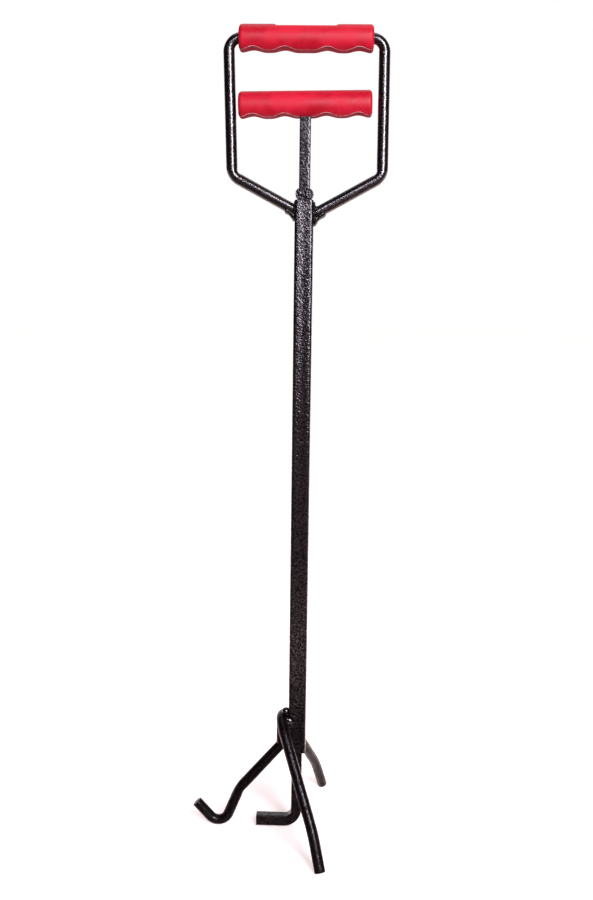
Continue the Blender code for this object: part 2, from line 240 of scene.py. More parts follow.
# Darker red painted on the grips' downward faces as shade.
RED_UNDERSIDE_SHADE = (0.260, 0.003, 0.020)
EDGE_HIGHLIGHT_PALE = (1.0, 0.68, 0.70)

# Mesh resolution.
RING_POINTS = 56
ARC_STEP = math.radians(3.0)
RUN_STEP = 0.003
WELD_VOXEL = 0.00032

# Camera and light.
CAMERA_PLACE = Vector((AXIS_X + 0.02637, -0.89089, 0.50205))
CAMERA_LENS = 40.936
CAMERA_SENSOR = 36.0
CAMERA_PITCH = 0.1610
CAMERA_YAW = -0.0340
CAMERA_ROLL = -0.0130
LIGHT_TARGET = Vector((AXIS_X, 0, 0.45))
# Name, azimuth to the right of the front and elevation in degrees, distance, size, watts, colour.
LAMPS = (
    ("key", 24, 23, 1.5, (0.58, 0.96), 41, (1.0, 0.95, 1.03)),
    ("front_strip", 7, 12, 1.5, (0.22, 0.40), 1.3, (0.95, 0.93, 1.10)),
    ("front_high", -7, 27, 1.5, (0.40, 0.10), 4.0, (0.96, 0.93, 1.12)),
    ("floor_card", 6, -55, 0.524, (0.50, 0.04), 0.14, (1.0, 0.80, 0.76)),
    ("overhead", 180, 75, 1.5, (1.2, 1.2), 6, (1.0, 0.98, 0.97)),
)
ROOM_DIM = (0.024, 0.014, 0.013)
ROOM_WALL = (1.25, 1.12, 1.20)
# Where the room turns into the wall, as the share of a direction that points straight back.
ROOM_TURN = (0.50, 0.95)
FLOOR_RADIUS = 12.0
FLOOR_WHITE = 0.72
FLOOR_WARM = (1.0, 0.74, 0.72)
FLOOR_SEEN = (1.0, 0.985, 0.98)
FLOOR_GLOW = (1.0, 0.85, 0.83, 1.0)
# Eased changes across the floor, as (from, to, value before, value after), in metres: the lift to white
# away from the feet, the glow behind and far in front, and the sheet's whiteness from front to back.
FLOOR_LIFT = (0.05, 0.20, 0.60, 1.1)
FLOOR_GLOW_BEHIND = (-0.03, 0.08, 0.0, 1.2)
FLOOR_GLOW_IN_FRONT = (-2.2, -0.75, 0.15, 0.0)
FLOOR_SHEET = (-0.15, 0.15, 0.16, 0.8)


# ---------------------------------------------------------------- mesh helpers


def mesh_object(name, builder, material, smooth_angle=38.0):
    """Turns a bmesh whose points are written from the tube's axis into a shaded object."""
    bmesh.ops.translate(builder, vec=(AXIS_X, 0, 0), verts=builder.verts)
    bmesh.ops.recalc_face_normals(builder, faces=builder.faces)
    mesh = bpy.data.meshes.new(name)
    builder.to_mesh(mesh)
    builder.free()
    mesh.shade_smooth()
    mesh.set_sharp_from_angle(angle=math.radians(smooth_angle))
    mesh.materials.append(material)
    obj = bpy.data.objects.new(name, mesh)
    bpy.context.scene.collection.objects.link(obj)
    return obj


def straight(start, end):
    """Samples of a straight run: the end points and steps between them, none of them in a bend."""
    count = max(1, round((end - start).length / RUN_STEP))
    return [(start.lerp(end, k / count), Vector()) for k in range(count)]


def bent_path(corners, bends):
    """Samples (point, pull) along the corners, with an arc at each inner one.

    pull points to the bend's centre, and its length grows from 0 to 1 towards mid-bend."""
    samples = []
    last = corners[0]
    for corner, radius, before, after in zip(corners[1:-1], bends, corners, corners[2:]):
        back = (before - corner).normalized()
        ahead = (after - corner).normalized()
        turn = math.pi - back.angle(ahead)
        centre = corner + (back + ahead).normalized() * (radius / math.cos(turn / 2))
        axis = (-back).cross(ahead).normalized()
        start = corner + back * (radius * math.tan(turn / 2)) - centre
        samples += straight(last, centre + start)
        steps = max(4, math.ceil(turn / ARC_STEP))
        for k in range(steps):
            spoke = Matrix.Rotation(turn * k / steps, 3, axis) @ start
            samples.append((centre + spoke, spoke.normalized() * -math.sin(math.pi * k / steps)))
        last = centre + Matrix.Rotation(turn, 3, axis) @ start
    samples += straight(last, corners[-1])
    samples.append((corners[-1], Vector()))
    return samples


def round_ends(samples, bevel, size):
    """Adds a small quarter-round at both ends: returns (point, pull, scale) samples."""
    points = [point for point, _ in samples]
    full = [(point, pull, 1.0) for point, pull in samples]
    first_way = (points[1] - points[0]).normalized()
    last_way = (points[-2] - points[-1]).normalized()
    head = []
    tail = []
    for k in range(CUT_EDGE_STEPS + 1):
        angle = math.pi / 2 * k / CUT_EDGE_STEPS
        depth = bevel * (1 - math.cos(angle))
        scale = 1 - bevel * (1 - math.sin(angle)) / size
        head.append((points[0] + first_way * depth, Vector(), scale))
        tail.append((points[-1] + last_way * depth, Vector(), scale))
    return head + full[1:-1] + tail[::-1]


def pinched(offset, pull, amount):
    """A section point in a bend: flattened towards the inside, and spread sideways a little."""
    weight = pull.length
    if weight < 1e-6:
        return offset
    inward = pull / weight
    depth = offset.dot(inward)
    flat = amount * weight * (PINCH_INSIDE if depth > 0 else PINCH_OUTSIDE)
    sideways = offset - inward * depth
    return sideways * (1 + PINCH_SPREAD * amount * weight) + inward * depth * (1 - flat)


def sweep(samples, section, side, size, bevel=CUT_EDGE_R, pinch=0.0):
    """A closed bar: the section carried along the samples without twist, with rounded end edges.

    side is where the section's u axis points at the start, and size is half the section's width."""
    builder = bmesh.new()
    samples = round_ends(samples, bevel, size)
    points = [sample[0] for sample in samples]
    tangent = (points[1] - points[0]).normalized()
    rings = []
    for i, (point, pull, scale) in enumerate(samples):
        ahead = points[min(i + 1, len(points) - 1)] - points[max(i - 1, 0)]
        if ahead.length > 1e-7:
            tangent = ahead.normalized()
        side = (side - tangent * side.dot(tangent)).normalized()
        other = tangent.cross(side)
        ring = []
        for u, v in section:
            offset = pinched((side * u + other * v) * scale, pull, pinch)
            ring.append(builder.verts.new(point + offset))
        rings.append(ring)
    bridge(builder, rings)
    builder.faces.new(rings[0][::-1])
    builder.faces.new(rings[-1])
    return builder


def bridge(builder, rings):
    """Quads between each ring of points and the next."""
    count = len(rings[0])
    for first, second in zip(rings, rings[1:]):
        for k in range(count):
            after = (k + 1) % count
            builder.faces.new((first[k], first[after], second[after], second[k]))


def circle(radius):
    """Points round a circle, as (u, v)."""
    angles = [2 * math.pi * k / RING_POINTS for k in range(RING_POINTS)]
    return [(radius * math.cos(angle), radius * math.sin(angle)) for angle in angles]


def rounded_square(width, edge_radius, sink=0.0, corner_steps=7, face_steps=8):
    """A square with round corners, whose faces sink by the given depth halfway between them."""
    flat = width / 2 - edge_radius
    points = []
    for quarter in range(4):
        turn = Matrix.Rotation(quarter * math.pi / 2, 2)
        for k in range(corner_steps + 1):
            angle = math.pi / 2 * k / corner_steps
            point = Vector((flat + edge_radius * math.cos(angle), flat + edge_radius * math.sin(angle)))
            points.append(tuple(turn @ point))
        for k in range(1, face_steps):
            across = 1 - 2 * k / face_steps
            depth = sink * 0.5 * (1 + math.cos(math.pi * across))
            points.append(tuple(turn @ Vector((flat * across, width / 2 - depth))))
    return points


def rolled_edges(section, width, roll):
    """Leans the last quarter of each face inwards, by roll at its edge, as on bar rolled off square."""
    half = width / 2
    leaned = []
    for u, v in section:
        if abs(v) >= abs(u):
            share = max(0.0, 2 * u * math.copysign(1, v) / half - 1)
            leaned.append((u, v * (1 - share * roll / half)))
        else:
            share = max(0.0, -2 * v * math.copysign(1, u) / half - 1)
            leaned.append((u * (1 - share * roll / half), v))
    return leaned


def add_boolean(obj, cutter):
    """Cuts the cutter's volume out of the object, once its modifiers are baked."""
    modifier = obj.modifiers.new("cut_" + cutter.name, "BOOLEAN")
    modifier.operation = "DIFFERENCE"
    modifier.solver = "EXACT"
    modifier.object = cutter


def bake_modifiers(obj):
    """Replaces the mesh by what its modifiers make of it."""
    graph = bpy.context.evaluated_depsgraph_get()
    baked = bpy.data.meshes.new_from_object(obj.evaluated_get(graph))
    obj.modifiers.clear()
    obj.data = baked


# ---------------------------------------------------------------- materials


def node(tree, kind, **values):
    """A shader node with its properties, and inputs named in values, set."""
    made = tree.nodes.new(kind)
    for key, value in values.items():
        if hasattr(made, key):
            setattr(made, key, value)
        else:
            made.inputs[key.replace("_", " ")].default_value = value
    return made


def new_material(name):
    material = bpy.data.materials.new(name)
    material.use_nodes = True
    tree = material.node_tree
    return material, tree, tree.nodes["Principled BSDF"]


def ramp(tree, source, stops):
    """A colour ramp fed by source. stops are (place, colour)."""
    made = tree.nodes.new("ShaderNodeValToRGB")
    elements = made.color_ramp.elements
    while len(elements) < len(stops):
        elements.new(0.5)
    for element, (place, colour) in zip(elements, stops):
        element.position = place
        element.color = (*colour, 1.0)
    tree.links.new(source, made.inputs["Fac"])
    return made.outputs["Color"]


def mix_values(tree, first, second, share):
    """first * (1 - share) + second * share, of two single values."""
    made = node(tree, "ShaderNodeMix", data_type="FLOAT")
    made.inputs["Factor"].default_value = share
    tree.links.new(first, made.inputs["A"])
    tree.links.new(second, made.inputs["B"])
    return made.outputs["Result"]


def smooth_range(tree, source, low, high, start, end):
    """source from low to high, eased into start to end."""
    made = node(tree, "ShaderNodeMapRange", interpolation_type="SMOOTHSTEP")
    for key, value in (("From Min", low), ("From Max", high), ("To Min", start), ("To Max", end)):
        made.inputs[key].default_value = value
    tree.links.new(source, made.inputs["Value"])
    return made.outputs["Result"]


def choose(tree, switch, off, on):
    """off where switch is 0, on where it is 1, of two single values."""
    made = node(tree, "ShaderNodeMix", data_type="FLOAT")
    tree.links.new(switch, made.inputs["Factor"])
    tree.links.new(off, made.inputs["A"])
    tree.links.new(on, made.inputs["B"])
    return made.outputs["Result"]


def tinted(tree, share, base, tint):
    """base where share is 0, the plain colour tint where it is 1."""
    made = node(tree, "ShaderNodeMix", data_type="RGBA")
    made.inputs["B"].default_value = (*tint, 1.0)
    tree.links.new(share, made.inputs["Factor"])
    tree.links.new(base, made.inputs["A"])
    return made.outputs["Result"]


def greys(low_place, low, high_place, high):
    """Two stops of a ramp between grey values."""
    return [(low_place, (low,) * 3), (high_place, (high,) * 3)]


def hammertone(name, relief, film, cell=0.0015, flake=0.010, wet=0.15, pits=0.12):
    """Black hammertone powder coat: dimples and worm-like ridges, metal flake under a glossy film."""
    material, tree, shader = new_material(name)
    link = tree.links.new
    place = tree.nodes.new("ShaderNodeTexCoord").outputs["Object"]

    cells = node(tree, "ShaderNodeTexVoronoi", feature="SMOOTH_F1", Scale=1 / cell, Smoothness=0.35)
    worms = node(tree, "ShaderNodeTexNoise", Scale=0.8 / cell, Detail=1.0, Roughness=0.5, Distortion=0.7)
    tone = node(tree, "ShaderNodeTexNoise", Scale=38.0, Detail=3.0)
    for texture in (cells, worms, tone):
        link(place, texture.inputs["Vector"])

    height = mix_values(tree, cells.outputs["Distance"], worms.outputs["Fac"], 0.55)
    bump = node(tree, "ShaderNodeBump", Strength=1.0, Distance=relief)
    link(height, bump.inputs["Height"])
    link(bump.outputs["Normal"], shader.inputs["Normal"])
    link(bump.outputs["Normal"], shader.inputs["Coat Normal"])

    dark = [flake * channel for channel in FLAKE_DARK]
    light = [flake * channel for channel in FLAKE_LIGHT]
    link(ramp(tree, height, [(0.36, dark), (0.58, light)]), shader.inputs["Base Color"])
    shader.inputs["Metallic"].default_value = 0.85
    shader.inputs["Roughness"].default_value = 0.46
    shader.inputs["Specular IOR Level"].default_value = 0.2

    rough = ramp(tree, tone.outputs["Fac"], greys(0.35, wet - 0.03, 0.65, wet + 0.05))
    link(rough, shader.inputs["Coat Roughness"])
    link(ramp(tree, height, greys(0.42, pits, 0.58, 1.0)), shader.inputs["Coat Weight"])
    shader.inputs["Coat IOR"].default_value = film
    return material


def vinyl(name):
    """Satin red vinyl: fine pebbling, faint smudges, a pale painted highlight along the lower edge, and
    painted shade on the underside, which is duller and a darker red.
    """
    material, tree, shader = new_material(name)
    link = tree.links.new
    place = tree.nodes.new("ShaderNodeTexCoord").outputs["Object"]

    smudge = node(tree, "ShaderNodeTexNoise", Scale=55.0, Detail=3.5, Roughness=0.55, Distortion=0.4)
    pebble = node(tree, "ShaderNodeTexNoise", Scale=1700.0, Detail=2.0)
    swell = node(tree, "ShaderNodeTexNoise", Scale=130.0, Detail=1.0)
    for texture in (smudge, pebble, swell):
        link(place, texture.inputs["Vector"])

    edge_highlight = node(tree, "ShaderNodeAttribute", attribute_name="edge_highlight").outputs["Fac"]
    underside = node(tree, "ShaderNodeAttribute", attribute_name="underside").outputs["Fac"]
    # The pale colour along the grip's lower edge is a painted highlight.
    red = ramp(tree, smudge.outputs["Fac"], [(0.34, RED_DEEP), (0.62, RED_FULL)])
    edged = tinted(tree, edge_highlight, red, EDGE_HIGHLIGHT_PALE)
    # The underside is painted a darker red and made duller, as painted shade.
    link(tinted(tree, underside, edged, RED_UNDERSIDE_SHADE), shader.inputs["Base Color"])
    link(smooth_range(tree, underside, 0.0, 1.0, 0.5, 0.02), shader.inputs["Specular IOR Level"])
    rough = ramp(tree, smudge.outputs["Fac"], greys(0.36, 0.40, 0.64, 0.62))
    link(rough, shader.inputs["Roughness"])

    relief = mix_values(tree, swell.outputs["Fac"], pebble.outputs["Fac"], 0.12)
    bump = node(tree, "ShaderNodeBump", Strength=0.5, Distance=0.0005)
    link(relief, bump.inputs["Height"])
    link(bump.outputs["Normal"], shader.inputs["Normal"])
    shader.inputs["Subsurface Weight"].default_value = 0.08
    shader.inputs["Subsurface Radius"].default_value = (0.004, 0.001, 0.001)
    shader.inputs["IOR"].default_value = 1.34
    return material


# ---------------------------------------------------------------- rods, bar and tube


def handle_corners():
    """The D-handle's corners from the left joint up, over and down to the right joint."""
    low = [Vector((HANDLE_LOW_X + side * HANDLE_LOW_HALF, 0, HANDLE_LOW_Z)) for side in (-1, 1)]
    top = [Vector((HANDLE_TOP_X + side * HANDLE_TOP_HALF, 0, HANDLE_TOP_Z)) for side in (-1, 1)]
    left_joint = Vector((-TUBE_W / 4, 0, HANDLE_LEFT_JOINT_Z))
    right_joint = Vector((TUBE_W / 4, 0, HANDLE_RIGHT_JOINT_Z))
    # Both arms end just inside the tube's side faces, which sink between their edges.
    reach = TUBE_W / 2 - HANDLE_SEAT_GAP
    left_end = left_joint.lerp(low[0], (reach + left_joint.x) / (left_joint.x - low[0].x))
    right_end = right_joint.lerp(low[1], (reach - right_joint.x) / (low[1].x - right_joint.x))
    return [left_end, low[0], top[0], top[1], low[1], right_end]


def make_handle(paint):
    bends = (HANDLE_LOW_BEND, HANDLE_TOP_BEND, HANDLE_TOP_BEND, HANDLE_LOW_BEND)
    samples = bent_path(handle_corners(), bends)
    body = sweep(samples, circle(ROD_R), Vector((0, 1, 0)), ROD_R, pinch=HANDLE_PINCH)
    handle = mesh_object("d_handle", body, paint)
    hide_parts("handle_rod")
    return handle


def hook_corners():
    """The hooked leg: down the tube, out to the knee, round the hook and up to the tip."""
    tip_way = Vector((-math.cos(HOOK_TIP_ANGLE), 0, math.sin(HOOK_TIP_ANGLE)))
    centre = Vector((HOOK_BOTTOM_X, 0, ROD_R + HOOK_RADIUS))
    to_knee = HOOK_KNEE - centre
    # The straight from the knee touches the hook's arc on its right-hand side.
    spread = math.acos(HOOK_RADIUS / to_knee.length)
    touch = centre + (Matrix.Rotation(spread, 3, "Y") @ to_knee.normalized()) * HOOK_RADIUS
    arc_end = centre + Vector((-tip_way.z, 0, tip_way.x)) * HOOK_RADIUS
    turn = (touch - HOOK_KNEE).angle(tip_way)
    corner = arc_end - tip_way * (HOOK_RADIUS * math.tan(turn / 2))
    tip = arc_end + tip_way * HOOK_TIP_LEN
    top = Vector((HOOK_LEG_X, 0, HOOK_TOP_Z))
    bend = Vector((HOOK_LEG_X, 0, HOOK_BEND_Z))
    return [top, bend, HOOK_KNEE, corner, tip]


def make_hook(paint):
    samples = bent_path(hook_corners(), (HOOK_TOP_BEND, HOOK_KNEE_BEND, HOOK_RADIUS))
    side = Vector((0, 1, 0))
    body = sweep(samples, circle(ROD_R), side, ROD_R, bevel=LEG_TIP_R, pinch=HOOK_PINCH)
    hook = mesh_object("hooked_leg", body, paint)
    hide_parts("hook_leg")
    return hook


def mirrored(point):
    """The point's mirror image behind the plane y = 0."""
    return Vector((point.x, -point.y, point.z))


def fork_samples():
    """The fork's centre line: front tip, front knee, bight, rear knee, rear tip."""
    corners = [FORK_TIP, FORK_KNEE, FORK_VERTEX, mirrored(FORK_KNEE), mirrored(FORK_TIP)]
    return bent_path(corners, (FORK_KNEE_BEND, FORK_BIGHT_BEND, FORK_KNEE_BEND))


def make_fork(paint):
    side = Vector((1, 0, 0))
    body = sweep(fork_samples(), circle(ROD_R), side, ROD_R, bevel=LEG_TIP_R, pinch=FORK_PINCH)
    fork = mesh_object("forked_legs", body, paint)
    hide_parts("fork_legs")
    return fork


def rim_rings(section, end, growth):
    """(section, scale, z) from the tube's end face, round its rounded rim, to the full wall.

    end is -1 at the bottom and 1 at the top. growth is -1 on the outside and 1 in the bore."""
    middle = (TUBE_BOTTOM + TUBE_TOP) / 2
    half = (TUBE_TOP - TUBE_BOTTOM) / 2
    half_width = section[0][0]
    rings = []
    for k in range(TUBE_RIM_STEPS + 1):
        angle = math.pi / 2 * k / TUBE_RIM_STEPS
        scale = 1 + growth * TUBE_RIM_R * (1 - math.sin(angle)) / half_width
        rings.append((section, scale, middle + end * (half - TUBE_RIM_R * (1 - math.cos(angle)))))
    return rings


def make_tube(paint):
    """Square tube with an open bore: one closed shell, with rounded rims at both ends."""
    outer = rounded_square(TUBE_W, TUBE_EDGE_R, TUBE_SINK)
    bore = rounded_square(TUBE_W - 2 * TUBE_WALL, TUBE_BORE_EDGE_R)
    outline = rim_rings(outer, -1, -1) + rim_rings(outer, 1, -1)[::-1]
    outline += rim_rings(bore, 1, 1) + rim_rings(bore, -1, 1)[::-1]
    builder = bmesh.new()
    rings = []
    for section, scale, z in outline:
        rings.append([builder.verts.new((u * scale, v * scale, z)) for u, v in section])
    bridge(builder, rings + [rings[0]])
    tube = mesh_object("square_tube", builder, paint)
    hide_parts("outer_tube")
    return tube


def make_bar(paint):
    """Sliding bar, bent at the bottom into the square foot."""
    top = Vector((0, 0, BAR_HIGH.z))
    corner = Vector((0, 0, FOOT_Z))
    toe = Vector((FOOT_END_X, 0, FOOT_Z))
    samples = bent_path([top, corner, toe], (FOOT_BEND,))
    section = rolled_edges(rounded_square(BAR_W, BAR_EDGE_R, corner_steps=5), BAR_W, BAR_ROLL)
    side = Vector((1, 0, 0))
    body = sweep(samples, section, side, BAR_W / 2, bevel=BAR_END_R, pinch=FOOT_PINCH)
    bar = mesh_object("bar_and_foot", body, paint)
    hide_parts("slide_bar")
    return bar


# ---------------------------------------------------------------- grips


def soft_step(value):
    """0 below 0, 1 above 1, and an eased rise between."""
    value = min(1.0, max(0.0, value))
    return value * value * (3 - 2 * value)


def grip_below(x):
    """Depth of the grip's underside below its centre line at x."""
    rise = 0.0
    for i in (0, 1):
        reach = abs(abs(x) - SCALLOP_FIRST - i * SCALLOP_PITCH) / SCALLOP_HALF
        if reach < 1.0:
            rise = SCALLOP_DEPTH * 0.5 * (1.0 + math.cos(math.pi * reach))
    return GRIP_BELOW - rise


def grip_above(x, thumb_flat):
    """Height of the grip's top above its centre line at x."""
    full = GRIP_R - GRIP_TOP_TRIM
    if not thumb_flat:
        return full
    return full - THUMB_FLAT_DEPTH * soft_step((THUMB_FLAT_HALF - abs(x)) / THUMB_FLAT_RAMP + 1.0)


def arc_points(centre, radius, start, end, count):
    """Points on an arc, its first end left out."""
    return [
        (
            centre[0] + radius * math.cos(start + (end - start) * k / count),
            centre[1] + radius * math.sin(start + (end - start) * k / count),
        )
        for k in range(1, count + 1)
    ]


def grip_section(radius, below, above):
    """Half of the grip's section, y >= 0, from the middle of its underside to the middle of its top."""
    edge = GRIP_EDGE_R
    low = (math.sqrt(max(0.0, (radius - edge) ** 2 - (below - edge) ** 2)), -(below - edge))
    high = (math.sqrt(max(0.0, (radius - edge) ** 2 - (above - edge) ** 2)), above - edge)
    low_angle = math.atan2(low[1], low[0])
    high_angle = math.atan2(high[1], high[0])
    points = [(low[0] * k / UNDERSIDE_STEPS, -below) for k in range(UNDERSIDE_STEPS + 1)]
    points += arc_points(low, edge, -math.pi / 2, low_angle, LOW_EDGE_STEPS)
    points += arc_points((0, 0), radius, low_angle, high_angle, SIDE_STEPS)
    points += arc_points(high, edge, high_angle, math.pi / 2, TOP_STEPS)
    points += [(high[0] * (1 - k / TOP_STEPS), above) for k in range(1, TOP_STEPS + 1)]
    return points


def grip_stations():
    """(x, inset) along the grip: rounded ends, and even steps between."""
    half = GRIP_LEN / 2
    stations = []
    for k in range(GRIP_END_STEPS + 1):
        angle = math.pi / 2 * k / GRIP_END_STEPS
        x = half - GRIP_END_R * (1 - math.cos(angle))
        stations.append((x, GRIP_END_R * (1 - math.sin(angle))))
    inner = half - GRIP_END_R
    middle = [(inner * (1 - 2 * k / GRIP_RUN_STEPS), 0.0) for k in range(1, GRIP_RUN_STEPS)]
    return stations + middle + [(-x, inset) for x, inset in reversed(stations)]


def grip_rings(builder, thumb_flat):
    """The grip's rings of points, with the line of its painted edge highlight and its underside, painted
    darker as shade, marked for the material.
    """
    edge_highlight = builder.verts.layers.float.new("edge_highlight")
    underside = builder.verts.layers.float.new("underside")
    rings = []
    for x, inset in grip_stations():
        half = grip_section(GRIP_R - inset, grip_below(x) - inset, grip_above(x, thumb_flat) - inset)
        loop = half + [(-y, z) for y, z in reversed(half[1:-1])]
        ring = [builder.verts.new((x, y, z)) for y, z in loop]
        # Points on the lower edge get the painted highlight; the underside points get the painted shade.
        for k in EDGE_HIGHLIGHT_POINTS:
            ring[k][edge_highlight] = 1.0
            ring[-k][edge_highlight] = 1.0
        for k in UNDERSIDE_POINTS:
            ring[k][underside] = 1.0
        rings.append(ring)
    return rings


def bore_ring(builder, ring, x, radius):
    """A circle round the rod's centre line at x, with each point facing its own point of the ring."""
    made = []
    for vert in ring:
        angle = math.atan2(vert.co.z - ROD_ABOVE_GRIP_CENTRE, vert.co.y)
        z = ROD_ABOVE_GRIP_CENTRE + radius * math.sin(angle)
        made.append(builder.verts.new((x, radius * math.cos(angle), z)))
    return made


def solid_grip():
    """A grip along X about its centre line, without thumb flat or bore."""
    builder = bmesh.new()
    rings = grip_rings(builder, False)
    bridge(builder, rings)
    builder.faces.new(rings[0])
    builder.faces.new(rings[-1][::-1])
    return builder


def bored_grip(bore_radius):
    """A grip along X about its centre line, with a thumb flat and a bore right through it."""
    builder = bmesh.new()
    rings = grip_rings(builder, True)
    bore = [bore_ring(builder, rings[0], end * GRIP_LEN / 2, bore_radius) for end in (-1, 1)]
    bridge(builder, rings + bore + [rings[0]])
    return builder


def make_top_grip(material):
    """Palm grip, with a shallow flat on top, round the D-handle's top rod."""
    builder = bored_grip(ROD_R + PALM_BORE_GAP)
    centre_x = (GRIP_LOW.x + GRIP_HIGH.x) / 2 - AXIS_X
    centre = Vector((centre_x, 0, HANDLE_TOP_Z - ROD_ABOVE_GRIP_CENTRE))
    bmesh.ops.translate(builder, vec=centre, verts=builder.verts)
    grip = mesh_object("palm_grip", builder, material, smooth_angle=GRIP_SHADING_ANGLE)
    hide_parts("top_grip")
    return grip


def grip_cutters(place, material):
    """The crossbar's bore, and the well through which the bar enters the finger grip from below."""
    along = place.to_3x3() @ Vector((CROSSBAR_LEN / 2 + FINGER_BORE_GAP, 0, 0))
    centre = place.translation + Vector((0, 0, ROD_ABOVE_GRIP_CENTRE))
    bore_run = [(point, Vector()) for point in (centre - along, centre, centre + along)]
    bore = sweep(bore_run, circle(ROD_R + FINGER_BORE_GAP), Vector((0, 1, 0)), ROD_R)
    well_run = [(Vector((0, 0, SLIDE_GRIP_Z + depth)), Vector()) for depth in WELL_DEPTHS]
    opening = rounded_square(BAR_W + 2 * FINGER_BORE_GAP, WELL_EDGE_R)
    well = sweep(well_run, opening, Vector((1, 0, 0)), BAR_W / 2)
    return [mesh_object("bore_cutter", bore, material), mesh_object("well_cutter", well, material)]


def make_slide_grip(material):
    """Finger grip with closed ends over the crossbar. The bar enters it from below."""
    builder = solid_grip()
    place = Matrix.Translation((SLIDE_GRIP_X, 0, SLIDE_GRIP_Z)) @ Matrix.Rotation(-CROSSBAR_TILT, 4, "Y")
    bmesh.ops.transform(builder, matrix=place, verts=builder.verts)
    grip = mesh_object("finger_grip", builder, material, smooth_angle=GRIP_SHADING_ANGLE)
    cutters = grip_cutters(place, material)
    for cutter in cutters:
        add_boolean(grip, cutter)
    bake_modifiers(grip)
    for cutter in cutters:
        bpy.data.objects.remove(cutter)
    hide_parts("slide_grip")
    return grip


# ---------------------------------------------------------------- weld beads


def blob_mesh(blobs):
    """Overlapping ellipsoids, as (centre, radii), in one bmesh."""
    builder = bmesh.new()
    for centre, radii in blobs:
        made = bmesh.ops.create_icosphere(builder, subdivisions=3, radius=1.0)
        shape = Matrix.Translation(Vector(centre)) @ Matrix.Diagonal((*radii, 1.0))
        bmesh.ops.transform(builder, matrix=shape, verts=made["verts"])
    return builder


def weld(name, blobs, paint, smoothing=3):
    """Weld metal: ellipsoids fused into one skin, then softened."""
    obj = mesh_object(name, blob_mesh(blobs), paint, smooth_angle=180.0)
    remesh = obj.modifiers.new("fuse", "REMESH")
    remesh.mode = "VOXEL"
    remesh.voxel_size = WELD_VOXEL
    remesh.use_smooth_shade = True
    soften = obj.modifiers.new("soften", "SMOOTH")
    soften.factor = 0.5
    soften.iterations = smoothing
    bake_modifiers(obj)
    obj.data.materials.clear()
    obj.data.materials.append(paint)
    return obj


def arm_seat(side):
    """Where an arm's centre line meets the tube's side face: side is -1 on the left, 1 on the right."""
    corners = handle_corners()
    return corners[0] if side < 0 else corners[-1]


def arm_way(side):
    """Unit vector along an arm, away from the tube."""
    corners = handle_corners()
    start, end = (corners[0], corners[1]) if side < 0 else (corners[-1], corners[-2])
    return (end - start).normalized()


def seat_ring(side, seat, size, picker):
    """A ring of small weld drops where an arm meets the tube's side face."""
    blobs = []
    for k in range(SEAT_DROPS):
        angle = 2 * math.pi * (k + 0.5) / SEAT_DROPS
        radius = size * picker.uniform(0.88, 1.12)
        ring = Vector((side * SEAT_PROUD, SEAT_RING_Y * math.sin(angle), SEAT_RING_Z * math.cos(angle)))
        blobs.append((seat + ring, (radius, radius, radius)))
    return blobs


def gusset(side, seat, reach, drop, size, picker):
    """Weld that fills the corner under an arm: rows of drops from the arm's underside to the tube."""
    blobs = []
    way = arm_way(side)
    under = Vector((side * way.z, 0, -abs(way.x)))
    for k in range(GUSSET_ROWS):
        share = k / (GUSSET_ROWS - 1)
        on_arm = seat + way * (reach * (1 - share)) + under * (ROD_R - size * GUSSET_ARM_SINK)
        on_tube = seat + Vector((side * size * GUSSET_TUBE_PROUD, 0, -drop + size))
        centre = on_arm.lerp(on_tube, share * share)
        for row in (-1, 0, 1):
            radius = size * picker.uniform(0.88, 1.1)
            spot = centre + Vector((0, row * GUSSET_ROW_GAP, GUSSET_SIDE_RISE * abs(row)))
            blobs.append((spot, (radius, radius * GUSSET_STRETCH, radius)))
    return blobs


def make_handle_welds(paint):
    """The beads that join the D-handle's two arms to the tube's side faces."""
    picker = random.Random(5)
    sides = (
        (-1, "handle_weld_left", LEFT_SEAT_SIZE, LEFT_GUSSET, LEFT_LUMPS),
        (1, "handle_weld_right", RIGHT_SEAT_SIZE, RIGHT_GUSSET, RIGHT_LUMPS),
    )
    beads = []
    for side, name, seat_size, gusset_sizes, lumps in sides:
        seat = arm_seat(side)
        blobs = seat_ring(side, seat, seat_size, picker)
        blobs += gusset(side, seat, *gusset_sizes, picker)
        blobs += [(seat + Vector(place), radii) for place, radii in lumps]
        bead = weld(name + "_bead", blobs, paint)
        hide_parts(name)
        beads.append(bead)
    return beads


def stop_button(face, end, picker):
    """A round button on the bar's front or rear face, with drops round its edge."""
    blobs = [(face, STOP_BUTTON)]
    across, out, up = STOP_RING
    for k in range(STOP_DROPS):
        angle = 2 * math.pi * k / STOP_DROPS
        ring = Vector((across * math.cos(angle), end * out, up * math.sin(angle)))
        size = STOP_DROP_R * picker.uniform(0.9, 1.2)
        blobs.append((face + ring, (size, size, size)))
    return blobs


def make_stops(paint):
    """Two weld beads that wrap the bar's corners and rest on the tube's rim."""
    picker = random.Random(11)
    beads = []
    for side, name in ((-1, "stop_bead_left"), (1, "stop_bead_right")):
        middle = Vector((side * STOP_X, 0, TUBE_TOP + STOP_RISE))
        blobs = [(middle, STOP_BODY)]
        for end in (-1, 1):
            blobs += stop_button(middle + Vector((0, end * STOP_BUTTON_Y, 0)), end, picker)
        bead = weld(name + "_button", blobs, paint, smoothing=2)
        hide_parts(name)
        beads.append(bead)
    return beads


